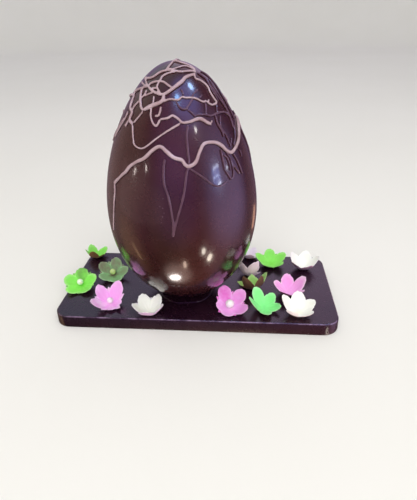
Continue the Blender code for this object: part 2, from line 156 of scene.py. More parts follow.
# the room that polished chocolate mirrors: a dim purple with softer patches of light in it
roomSet = {
    "plain": "#f6f5f3",  # what lights everything that isn't shiny
    "plainStrength": 0.8,
    "base": ("#c893ff", 0.12),
    "fade": (-0.78, -0.12),  # the base goes dark between these heights
    "glows": {  # round from the front, height, degrees to its rim, colour, brightness
        "backWall": (190, 36, 50, "#dccaf0", 0.34),
        "backRight": (166, 36, 34, "#e6cfe4", 0.65),
        "rightWindow": (78, 6, 50, "#bcb6ff", 1.1),
        "leftWall": (-96, 8, 56, "#ffdcae", 0.34),
        "ceiling": (0, 46, 52, "#e2a4ff", 0.4),
        "ceilingBlue": (54, 68, 31, "#8c9bff", 2.2),
        "ceilingLeft": (-130, 56, 44, "#b4e6dc", 0.5),
        "behindLeft": (-152, -20, 36, "#cdb48c", 0.3),
        "behindRight": (142, -18, 32, "#c49a84", 0.28),
        "frontWall": (0, 5, 46, "#9a70ff", 0.26),
        "tableFront": (-14, -20, 40, "#ffe49a", 0.12),
        "tableRight": (80, -27, 46, "#ffccea", 0.4),
        "tableRed": (45, -44, 56, "#ff9d84", 0.35),
        "tableLeft": (-84, -34, 26, "#ffc58e", 0.3),
        "tableShine": (-14, -64, 20, "#ffdccc", 1.9),
    },
}


def lightStudio():
    aim = Vector(studioSet["aim"]) * mm
    for name, values in [*studioSet["lamps"].items(), ("softLamp", studioSet["softLamp"])]:
        round_, height, wide, tall, brightness, colour, shape, roll = values
        lamp = bpy.data.lights.new(name, "AREA")
        lamp.shape = shape
        lamp.size = 2 * studioSet["away"] * math.tan(math.radians(wide / 2))
        lamp.size_y = 2 * studioSet["away"] * math.tan(math.radians(tall / 2))
        lamp.color = linearColour(colour)[:3]
        area = lamp.size * lamp.size_y * (math.pi / 4 if shape == "ELLIPSE" else 1)
        lamp.energy = brightness * math.pi * area  # so that brightness is the lamp's own radiance
        holder = bpy.data.objects.new(name, lamp)
        bpy.context.collection.objects.link(holder)
        towards = direction(round_, height)
        facing = towards.to_track_quat("Z", "Y").to_matrix().to_4x4() @ Matrix.Rotation(math.radians(roll), 4, "Z")
        holder.matrix_world = Matrix.Translation(aim + towards * studioSet["away"]) @ facing
        holder.visible_camera = False
        holder.visible_transmission = False
        soft = name == "softLamp"
        holder.visible_diffuse = soft
        holder.visible_glossy = not soft


def paintRoom():
    world = bpy.data.worlds.new("studioRoom")
    bpy.context.scene.world = world
    world.use_nodes = True
    tree = world.node_tree
    tree.nodes.clear()
    ray = addNode(tree, "ShaderNodeTexCoord").outputs["Generated"]
    axes = addNode(tree, "ShaderNodeSeparateXYZ", links={"Vector": ray})
    colour, strength = roomSet["base"]
    low, high = roomSet["fade"]
    lit = addNode(tree, "ShaderNodeMapRange", {"interpolation_type": "SMOOTHSTEP"},
                  {"From Min": low, "From Max": high, "To Max": strength}, {"Value": axes.outputs["Z"]})
    total = addNode(tree, "ShaderNodeVectorMath", {"operation": "SCALE"},
                    {0: linearColour(colour)[:3]}, {"Scale": lit.outputs["Result"]}).outputs["Vector"]
    for round_, height, rim, colour, strength in roomSet["glows"].values():
        towards = direction(round_, height)
        facing = addNode(tree, "ShaderNodeVectorMath", {"operation": "DOT_PRODUCT"}, {1: towards}, {0: ray})
        patch = addNode(tree, "ShaderNodeMapRange", {"interpolation_type": "SMOOTHERSTEP"},
                        {"From Min": math.cos(math.radians(rim)), "To Max": strength},
                        {"Value": facing.outputs["Value"]})
        tint = addNode(tree, "ShaderNodeVectorMath", {"operation": "SCALE"},
                       {0: linearColour(colour)[:3]}, {"Scale": patch.outputs["Result"]})
        total = addNode(tree, "ShaderNodeVectorMath", {"operation": "ADD"},
                        links={0: total, 1: tint.outputs["Vector"]}).outputs["Vector"]
    mirrored = addNode(tree, "ShaderNodeBackground", links={"Color": total})
    plain = addNode(tree, "ShaderNodeBackground",
                    inputs={"Color": linearColour(roomSet["plain"]), "Strength": roomSet["plainStrength"]})
    path = addNode(tree, "ShaderNodeLightPath")
    either = addNode(tree, "ShaderNodeMixShader", links={
        0: path.outputs["Is Glossy Ray"], 1: plain.outputs["Background"], 2: mirrored.outputs["Background"]})
    addNode(tree, "ShaderNodeOutputWorld", links={"Surface": either.outputs["Shader"]})


coveSet = {
    "flat": 2.6,  # metres of flat floor before it curves up
    "bend": 0.6,
    "wall": 2.6,
    "sides": 96,
    "steps": 12,
    "colours": ("#f1f0ee", "#eeedea"),
}


def layCove():
    # eggshell paint on board: even and matt, floor and wall in one sweep with no corner
    material, tree, shader, place = startMaterial("paintedCove", {
        "Roughness": 0.7, "Specular IOR Level": 0.15})
    mottle = addNode(tree, "ShaderNodeTexNoise", inputs={"Scale": 1 / 0.4, "Detail": 3.0}, links={"Vector": place})
    tone = addNode(tree, "ShaderNodeValToRGB", links={"Fac": mottle.outputs["Fac"]},
                   stops=[(0.3, coveSet["colours"][0]), (0.7, coveSet["colours"][1])])
    tree.links.new(tone.outputs["Color"], shader.inputs["Base Color"])
    profile = [(coveSet["flat"] * share, 0.0) for share in (0.15, 0.5, 1.0)]
    for step in range(1, coveSet["steps"] + 1):
        angle = math.radians(90 * step / coveSet["steps"])
        profile.append((coveSet["flat"] + coveSet["bend"] * math.sin(angle), coveSet["bend"] * (1 - math.cos(angle))))
    profile.append((coveSet["flat"] + coveSet["bend"], coveSet["wall"]))
    sides = coveSet["sides"]
    verts = [(0, 0, 0)]
    for radius, height in profile:
        verts += [(radius * math.cos(math.tau * side / sides), radius * math.sin(math.tau * side / sides), height)
                  for side in range(sides)]
    faces = []
    for side in range(sides):
        after = (side + 1) % sides
        faces.append((0, 1 + side, 1 + after))
        for ring in range(len(profile) - 1):
            a, b = 1 + ring * sides + side, 1 + ring * sides + after
            faces.append((a, a + sides, b + sides, b))
    mesh = bpy.data.meshes.new("cove")
    mesh.from_pydata(verts, [], faces)
    mesh.materials.append(material)
    mesh.shade_smooth()
    cove = bpy.data.objects.new("cove", mesh)
    bpy.context.collection.objects.link(cove)
    cove.location.z = -0.2 * mm
    cove.visible_glossy = False  # polished chocolate mirrors the dim room instead of a white sheet


# finishes

def temperedChocolate(name, look):
    # cocoa butter set in bloom-free crystals: near black brown, a wet looking skin, slow ripples from the mould
    material, tree, shader, place = startMaterial(name, {
        "IOR": 1.47, "Coat Weight": look["coat"], "Coat Roughness": look["coatRoughness"], "Coat IOR": 1.47})
    cloud = addNode(tree, "ShaderNodeTexNoise", inputs={"Scale": 1 / (26 * mm), "Detail": 2.0},
                    links={"Vector": place})
    tone = addNode(tree, "ShaderNodeValToRGB", links={"Fac": cloud.outputs["Fac"]},
                   stops=[(0.32, look["dark"]), (0.68, look["light"])])
    # painted highlight: where the slab's bevel attribute is set, the colour is mixed towards a pale tint, made patchy
    # by noise
    rub = addNode(tree, "ShaderNodeAttribute", {"attribute_name": "rub"})
    breakupNoise = addNode(tree, "ShaderNodeTexNoise", inputs={"Scale": 1 / (7 * mm), "Detail": 4.0, "Roughness": 0.65},
                    links={"Vector": place})
    highlightBreakup = addNode(tree, "ShaderNodeMapRange", inputs={"From Min": 0.42, "From Max": 0.62, "To Min": 0.12},
                   links={"Value": breakupNoise.outputs["Fac"]})
    highlightStrength = addNode(tree, "ShaderNodeMath", {"operation": "MULTIPLY"},
                   links={0: rub.outputs["Fac"], 1: highlightBreakup.outputs["Result"]})
    skin = addNode(tree, "ShaderNodeMix", {"data_type": "RGBA"}, {7: linearColour(look["paintedHighlight"])},
                   {0: highlightStrength.outputs["Value"], 6: tone.outputs["Color"]})
    tree.links.new(skin.outputs[2], shader.inputs["Base Color"])
    smear = addNode(tree, "ShaderNodeTexNoise", inputs={"Scale": 1 / (9 * mm), "Detail": 5.0, "Roughness": 0.6},
                    links={"Vector": place})
    polish = addNode(tree, "ShaderNodeMapRange",
                     inputs={"From Min": 0.3, "From Max": 0.75,
                             "To Min": look["roughness"] * 0.8, "To Max": look["roughness"] * 1.35},
                     links={"Value": smear.outputs["Fac"]})
    tree.links.new(polish.outputs["Result"], shader.inputs["Roughness"])
    ripple = addNode(tree, "ShaderNodeTexNoise", inputs={"Scale": 1 / (14 * mm), "Detail": 1.0},
                     links={"Vector": place})
    slow = addNode(tree, "ShaderNodeBump", inputs={"Strength": 1.0, "Distance": look["wave"]},
                   links={"Height": ripple.outputs["Fac"]})
    grain = addNode(tree, "ShaderNodeTexNoise", inputs={"Scale": 1 / look["grain"], "Detail": 2.0},
                    links={"Vector": place})
    fine = addNode(tree, "ShaderNodeBump", inputs={"Strength": 0.25, "Distance": 0.015 * mm},
                   links={"Height": grain.outputs["Fac"], "Normal": slow.outputs["Normal"]})
    tree.links.new(fine.outputs["Normal"], shader.inputs["Normal"])
    return material


def setDrizzle(name, look):
    # poured chocolate left to set in air: rounded, satin, streaked where it folded, with a faint orange peel
    material, tree, shader, place = startMaterial(name, {
        "IOR": 1.46, "Roughness": look["roughness"], "Coat Weight": look["coat"], "Coat Roughness": 0.18,
        "Subsurface Weight": look["soft"], "Subsurface Radius": (1.0, 0.6, 0.4), "Subsurface Scale": 0.6 * mm})
    streak = addNode(tree, "ShaderNodeTexNoise", inputs={"Scale": 1 / (6 * mm), "Detail": 3.0},
                     links={"Vector": place})
    tone = addNode(tree, "ShaderNodeValToRGB", links={"Fac": streak.outputs["Fac"]},
                   stops=[(0.3, look["low"]), (0.7, look["high"])])
    tree.links.new(tone.outputs["Color"], shader.inputs["Base Color"])
    peel = addNode(tree, "ShaderNodeTexNoise", inputs={"Scale": 1 / (0.7 * mm), "Detail": 2.0},
                   links={"Vector": place})
    bump = addNode(tree, "ShaderNodeBump", inputs={"Strength": 0.35, "Distance": 0.05 * mm},
                   links={"Height": peel.outputs["Fac"]})
    tree.links.new(bump.outputs["Normal"], shader.inputs["Normal"])
    return material


def gumPaste(name, throat, petal, edge, back, dusted):
    # dried sugar dough dusted with powder colour: soft and chalky, paler at the rim, partly from the thin paste and
    # partly as a painted rim highlight
    material, tree, shader, place = startMaterial(name, {
        "IOR": 1.45, "Roughness": 0.6, "Subsurface Weight": 0.12, "Subsurface Radius": (1.0, 0.7, 0.6),
        "Subsurface Scale": 1.2 * mm, "Sheen Weight": 0.06})
    reach, under, tone = (addNode(tree, "ShaderNodeAttribute", {"attribute_name": label}).outputs["Fac"]
                          for label in ("reach", "under", "tone"))
    blotch = addNode(tree, "ShaderNodeTexNoise", inputs={"Scale": 1 / (3.2 * mm), "Detail": 3.0},
                     links={"Vector": place})
    wander = addNode(tree, "ShaderNodeMapRange", inputs={"To Min": -0.16, "To Max": 0.16},
                     links={"Value": blotch.outputs["Fac"]})
    along = addNode(tree, "ShaderNodeMath", {"operation": "ADD"}, links={0: reach, 1: wander.outputs["Result"]})
    # out at the rim the face turns to the edge colour, partly a painted rim highlight
    face = addNode(tree, "ShaderNodeValToRGB", links={"Fac": along.outputs["Value"]},
                   stops=[(0.08, throat), (0.42, petal), (0.82, petal), (1.0, edge)])
    brush = addNode(tree, "ShaderNodeMapRange", inputs={"From Min": 0.3, "From Max": 0.62, "To Min": 0.45},
                    links={"Value": blotch.outputs["Fac"]})
    powdered = addNode(tree, "ShaderNodeMath", {"operation": "MULTIPLY"},
                       links={0: tone, 1: brush.outputs["Result"]})
    deeper = addNode(tree, "ShaderNodeMix", {"data_type": "RGBA"}, {7: linearColour(dusted)},
                     {0: powdered.outputs["Value"], 6: face.outputs["Color"]})
    # the underside takes the back colour; the snow paste's violet back is painted shade
    both = addNode(tree, "ShaderNodeMix", {"data_type": "RGBA"}, {7: linearColour(back)},
                   {0: under, 6: deeper.outputs[2]})
    tree.links.new(both.outputs[2], shader.inputs["Base Color"])
    powder = addNode(tree, "ShaderNodeTexNoise", inputs={"Scale": 1 / (0.35 * mm), "Detail": 2.0},
                     links={"Vector": place})
    bump = addNode(tree, "ShaderNodeBump", inputs={"Strength": 0.3, "Distance": 0.05 * mm},
                   links={"Height": powder.outputs["Fac"]})
    tree.links.new(bump.outputs["Normal"], shader.inputs["Normal"])
    return material


def sugarPearl(name, body, glow):
    # pressed sugar ball under a pearl lustre glaze: soft shine with a pale halo
    material, tree, shader, place = startMaterial(name, {
        "Roughness": 0.34, "Coat Weight": 0.35, "Coat Roughness": 0.2, "Subsurface Weight": 0.1,
        "Subsurface Scale": 0.8 * mm})
    swirl = addNode(tree, "ShaderNodeTexNoise", inputs={"Scale": 1 / (2.2 * mm), "Detail": 2.0},
                    links={"Vector": place})
    tone = addNode(tree, "ShaderNodeValToRGB", links={"Fac": swirl.outputs["Fac"]},
                   stops=[(0.3, body), (0.7, glow)])
    tree.links.new(tone.outputs["Color"], shader.inputs["Base Color"])
    return material


# egg: a turned form, blunt end down, as the mould gives it
eggSet = {
    "halfWidth": 46.8 * mm,  # before the taper
    "taper": 0.175,
    "belly": 0.0426,
    "rings": 150,
    "sides": 216,
    "dent": 0.05 * mm,
    "dentSize": 22 * mm,
    "seamHeight": 0.10 * mm,
    "seamWidth": 0.45 * mm,
    "seamDirection": 98,
    "look": {"dark": "#331514", "light": "#3b1b1b", "paintedHighlight": "#3b1b1b", "roughness": 0.26, "wave": 0.05 * mm,
             "grain": 0.5 * mm, "coat": 0.75, "coatRoughness": 0.09},
}
eggLow, eggHigh = (Vector(c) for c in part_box("egg"))
eggHeight = eggHigh.z - eggLow.z
eggBase = Vector(((eggLow.x + eggHigh.x) / 2, (eggLow.y + eggHigh.y) / 2, eggLow.z))


def eggRadius(height):
    along = min(1.0, max(-1.0, 2 * height / eggHeight - 1))
    body = eggSet["halfWidth"] * math.sqrt(max(0.0, 1 - along * along))
    return body * (1 - eggSet["taper"] * along - eggSet["belly"] * along * along)


def eggNormal(point):  # point is measured from the middle of the egg's base
    step = 0.5 * mm
    low = max(0.0, point.z - step)
    high = min(eggHeight, point.z + step)
    slope = (eggRadius(high) - eggRadius(low)) / (high - low)
    outward = Vector((point.x, point.y, 0))
    if outward.length < 0.01 * mm:
        return Vector((0, 0, 1))
    outward.normalize()
    return Vector((outward.x, outward.y, -slope)).normalized()


def pullToEgg(point, middle=66 * mm):  # straight out from the middle on to the skin
    centre = Vector((0, 0, middle))
    outward = (point - centre).normalized()
    inside = 0.0
    outside = eggHeight
    for _ in range(26):
        reach = (inside + outside) / 2
        place = centre + outward * reach
        if 0 < place.z < eggHeight and math.hypot(place.x, place.y) < eggRadius(place.z):
            inside = reach
        else:
            outside = reach
    return centre + outward * inside


def makeEgg():
    seam = math.radians(eggSet["seamDirection"])
    verts = []
    for ring in range(1, eggSet["rings"]):
        height = eggHeight * (1 + math.cos(math.pi * ring / eggSet["rings"])) / 2
        radius = eggRadius(height)
        for side in range(eggSet["sides"]):
            angle = math.tau * side / eggSet["sides"]
            place = Vector((math.sin(angle) * radius, -math.cos(angle) * radius, height))
            away = abs(math.sin(angle - seam)) * radius / eggSet["seamWidth"]  # two mould halves meet here
            push = eggSet["seamHeight"] * math.exp(-away * away)
            push += eggSet["dent"] * noise.noise(place / eggSet["dentSize"])
            verts.append(eggBase + place + eggNormal(place) * push)
    top = len(verts)
    verts += [eggBase + Vector((0, 0, eggHeight)), eggBase.copy()]
    faces = []
    sides = eggSet["sides"]
    for ring in range(eggSet["rings"] - 2):
        for side in range(sides):
            after = (side + 1) % sides
            a, b = ring * sides + side, ring * sides + after
            faces.append((a, a + sides, b + sides, b))
    last = (eggSet["rings"] - 2) * sides
    for side in range(sides):
        after = (side + 1) % sides
        faces.append((top, side, after))
        faces.append((top + 1, last + after, last + side))
    chocolate = temperedChocolate("temperedChocolateEgg", eggSet["look"])
    egg = meshPiece("eggShell", verts, faces, chocolate)
    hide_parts("egg")
    print("egg turned:", len(faces), "faces")


# slab: the bar under it, cast in a flat tray
slabSet = {
    "corner": 11 * mm,
    "cornerSteps": 18,
    "topEdge": 0.9 * mm,
    "lowEdge": 0.4 * mm,
    "edgeSteps": 6,
    "draft": 0.4 * mm,
    # the pale third colour is a painted highlight for the top bevel
    "look": {"dark": "#1f0c1b", "light": "#28121f", "paintedHighlight": "#8f7693", "roughness": 0.27, "wave": 0.03 * mm,
             "grain": 0.6 * mm, "coat": 0.45, "coatRoughness": 0.25},
}
slabLow, slabHigh = (Vector(c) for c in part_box("slab"))
slabTop = slabHigh.z


def roundedLoop(inset, height):  # the slab's outline, drawn in by inset
    loop = []
    steps = slabSet["cornerSteps"]
    radius = max(0.2 * mm, slabSet["corner"] - inset)
    centreX = (slabHigh.x - slabLow.x) / 2 - slabSet["corner"]
    centreY = (slabHigh.y - slabLow.y) / 2 - slabSet["corner"]
    for corner, (signX, signY) in enumerate(((1, 1), (-1, 1), (-1, -1), (1, -1))):
        for step in range(steps + 1):
            angle = math.radians(90 * corner + 90 * step / steps)
            loop.append(((slabLow.x + slabHigh.x) / 2 + signX * centreX + math.cos(angle) * radius,
                         (slabLow.y + slabHigh.y) / 2 + signY * centreY + math.sin(angle) * radius, height))
    return loop


def makeSlab():
    thick = slabHigh.z - slabLow.z
    rings = []
    for step in range(slabSet["edgeSteps"] + 1):  # low edge, from underneath out to the side
        angle = math.radians(90 * step / slabSet["edgeSteps"])
        rings.append((slabSet["lowEdge"] * (1 - math.sin(angle)), slabSet["lowEdge"] * (1 - math.cos(angle)), 0.0))
    for step in range(slabSet["edgeSteps"] + 1):  # top edge, with a painted highlight across the middle of its bevel
        angle = math.radians(90 * step / slabSet["edgeSteps"])
        rings.append((slabSet["draft"] + slabSet["topEdge"] * (1 - math.cos(angle)),
                      thick - slabSet["topEdge"] * (1 - math.sin(angle)), math.sin(2 * angle) ** 2))
    rings.append((slabSet["draft"] + slabSet["topEdge"] + 0.6 * mm, thick, 0.0))
    verts, paintedHighlight = [], []
    for inset, height, rub in rings:
        loop = roundedLoop(inset, slabLow.z + height)
        verts += loop
        paintedHighlight += [rub] * len(loop)
    count = len(verts) // len(rings)
    faces = [tuple(reversed(range(count)))]
    for ring in range(len(rings) - 1):
        for index in range(count):
            after = (index + 1) % count
            a, b = ring * count + index, ring * count + after
            faces.append((a, b, b + count, a + count))
    faces.append(tuple(range((len(rings) - 1) * count, len(rings) * count)))
    chocolate = temperedChocolate("temperedChocolateSlab", slabSet["look"])
    slab = meshPiece("slabBar", verts, faces, chocolate)
    slab.data.set_sharp_from_angle(angle=math.radians(35))
    # each point's share of the painted bevel highlight
    slab.data.attributes.new("rub", "FLOAT", "POINT").data.foreach_set("value", paintedHighlight)
    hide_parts("slab")
    print("slab cast")
    return chocolate


# foot: melted chocolate that glued the egg down
footSet = {
    "radius": 20.5 * mm,
    "height": 1.9 * mm,
    "rim": 0.55 * mm,
    "slump": 1.7,
    "wander": 0.07,
    "steps": 14,
    "sides": 120,
    "hole": 6 * mm,  # hidden under the egg
}


def makeFoot(chocolate):
    centre = Vector((eggBase.x, eggBase.y, slabTop))
    lift = eggBase.z - slabTop
    inner = eggRadius(footSet["height"] - lift)
    verts = []
    for side in range(footSet["sides"]):
        angle = math.tau * side / footSet["sides"]
        outward = Vector((math.cos(angle), math.sin(angle), 0))
        outer = footSet["radius"] * (1 + footSet["wander"] * noise.noise(outward * 1.6))
        for step in range(footSet["steps"] + 1):
            t = step / footSet["steps"]
            bead = math.sqrt(max(0.0, 1 - max(0.0, (t - 0.86) / 0.14) ** 2))  # rounded rim
            height = (footSet["rim"] + (footSet["height"] - footSet["rim"]) * (1 - t) ** footSet["slump"]) * bead
            verts.append(centre + outward * (inner - 0.3 * mm + (outer - inner + 0.3 * mm) * t)
                         + Vector((0, 0, height)))
        verts.append(centre + outward * footSet["hole"])
    row = footSet["steps"] + 2
    faces = []
    for side in range(footSet["sides"]):
        after = (side + 1) % footSet["sides"]
        for step in range(row):
            a, b = side * row + step, after * row + step
            ahead = (step + 1) % row
            faces.append((a, side * row + ahead, after * row + ahead, b))
    foot = meshPiece("setPuddle", verts, faces, chocolate)
    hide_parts("foot")
    print("foot poured")


# drizzle: strands drawn on a plane that faces the front, u to the right and v up, mm from the egg's base
drawSet = {"azimuth": 8, "elevation": 20}


def frontPoint(u, v):
    towards = direction(drawSet["azimuth"], drawSet["elevation"])
    right = direction(drawSet["azimuth"] + 90, 0)
    upward = right.cross(towards)
    if upward.z < 0:
        upward.negate()
    start = right * (u * mm) + upward * (v * mm)
    best, bestGap = None, None
    distance = 90 * mm
    while distance > -40 * mm:
        point = start + towards * distance
        if 0 < point.z < eggHeight:
            gap = math.hypot(point.x, point.y) - eggRadius(point.z)
            if bestGap is None or gap < bestGap:
                best, bestGap = point, gap
            if gap <= 0:
                break
        distance -= 0.2 * mm
    return pullToEgg(best)


def roundPoint(side, height):  # degrees round from the front, mm up
    angle = math.radians(side)
    radius = eggRadius(height * mm)
    return Vector((math.sin(angle) * radius, -math.cos(angle) * radius, height * mm))


def smoothRoute(points, step):
    padded = [points[0] * 2 - points[1]] + points + [points[-1] * 2 - points[-2]]
    fine = []
    for before, start, end, after in zip(padded, padded[1:], padded[2:], padded[3:]):
        count = max(2, round((end - start).length / (0.25 * mm)))
        for index in range(count):
            t = index / count
            bend = (before * -1 + start * 3 - end * 3 + after) * t ** 3
            bend += (before * 2 - start * 5 + end * 4 - after) * t ** 2
            bend += (end - before) * t
            fine.append(start + bend * 0.5)
    fine.append(points[-1])
    length = sum((b - a).length for a, b in zip(fine, fine[1:]))
    count = max(3, round(length / step))
    route = [fine[0]]
    travelled = 0.0
    for a, b in zip(fine, fine[1:]):
        travelled += (b - a).length
        if travelled >= len(route) * length / count and len(route) < count:
            route.append(b)
    route.append(fine[-1])
    return route


strandSet = {
    "step": 0.4 * mm,
    "sides": 12,
    "wobble": 0.15,  # share of the width that comes and goes as the hand speeds up and slows
    "wobbleLength": 5 * mm,
    "flat": 0.85,
    "sink": 0.42,
    "clear": 0.12 * mm,
    "lost": 0.08 * mm,  # what fusing and smoothing take off a strand
    "voxel": 0.3 * mm,
    "smoothing": 3,
}


def addStrand(verts, faces, points, radii, seed):  # radii in mm, spread evenly from end to end
    route = [pullToEgg(point) for point in smoothRoute(points, strandSet["step"])]
    count = len(route)
    base = len(verts)
    sides = strandSet["sides"]
    for index, place in enumerate(route):
        before = route[max(0, index - 1)]
        after = route[min(count - 1, index + 1)]
        along = (after - before).normalized()
        up = eggNormal(place)
        across = along.cross(up).normalized()
        travelled = index * strandSet["step"]
        radius = float(np.interp(index / (count - 1), np.linspace(0, 1, len(radii)), radii)) * mm
        radius += strandSet["lost"]
        swing = noise.noise(Vector((travelled / strandSet["wobbleLength"], seed * 7.3, 0.5)))
        swing += 0.5 * noise.noise(Vector((travelled / (strandSet["wobbleLength"] * 0.35), seed * 3.1, 4.5)))
        fromEnd = min(travelled, (count - 1 - index) * strandSet["step"])
        close = math.sqrt(max(0.02, 1 - max(0.0, 1 - fromEnd / radius) ** 2))  # round ends
        width = radius * (1 + strandSet["wobble"] * swing) * close
        centre = place + up * (width * strandSet["flat"] * (1 - strandSet["sink"]) + strandSet["clear"])
        for side in range(sides):
            angle = math.tau * side / sides
            verts.append(centre + across * (math.cos(angle) * width)
                         + up * (math.sin(angle) * width * strandSet["flat"]))
    for index in range(count - 1):
        for side in range(sides):
            after = (side + 1) % sides
            a, b = base + index * sides + side, base + index * sides + after
            faces.append((a, a + sides, b + sides, b))
    faces.append(tuple(base + side for side in range(sides)))
    faces.append(tuple(base + (count - 1) * sides + side for side in reversed(range(sides))))


def addDrop(verts, faces, place, radius):  # a flattened splash drop
    up = eggNormal(place)
    across = up.orthogonal().normalized()
    other = up.cross(across)
    base = len(verts)
    rings, sides = 4, 10
    for ring in range(rings):
        lean = math.radians(90 * ring / rings)
        for side in range(sides):
            angle = math.tau * side / sides
            flat = across * math.cos(angle) + other * math.sin(angle)
            verts.append(place + flat * (math.cos(lean) * radius) + up * (math.sin(lean) * radius * 0.7))
    verts.append(place + up * (radius * 0.7))
    for ring in range(rings - 1):
        for side in range(sides):
            after = (side + 1) % sides
            a, b = base + ring * sides + side, base + ring * sides + after
            faces.append((a, b, b + sides, a + sides))
    top = base + rings * sides
    for side in range(sides):
        faces.append((base + (rings - 1) * sides + side, base + (rings - 1) * sides + (side + 1) % sides, top))
    faces.append(tuple(base + side for side in reversed(range(sides))))


def fuseStrands(name, verts, faces, material):
    # strands that cross run together, as they do while wet
    piece = meshPiece(name, [eggBase + v for v in verts], faces, material)
    remesh = piece.modifiers.new("fuse", "REMESH")
    remesh.mode = "VOXEL"
    remesh.voxel_size = strandSet["voxel"]
    remesh.use_smooth_shade = True
    soften = piece.modifiers.new("soften", "SMOOTH")
    soften.factor = 0.5
    soften.iterations = strandSet["smoothing"]
    bpy.context.view_layer.update()
    fused = bpy.data.meshes.new_from_object(piece.evaluated_get(bpy.context.evaluated_depsgraph_get()))
    piece.modifiers.clear()
    rough = piece.data
    piece.data = fused
    bpy.data.meshes.remove(rough)
    fused.name = name
    fused.shade_smooth()
    if not fused.materials:
        fused.materials.append(material)
    return piece


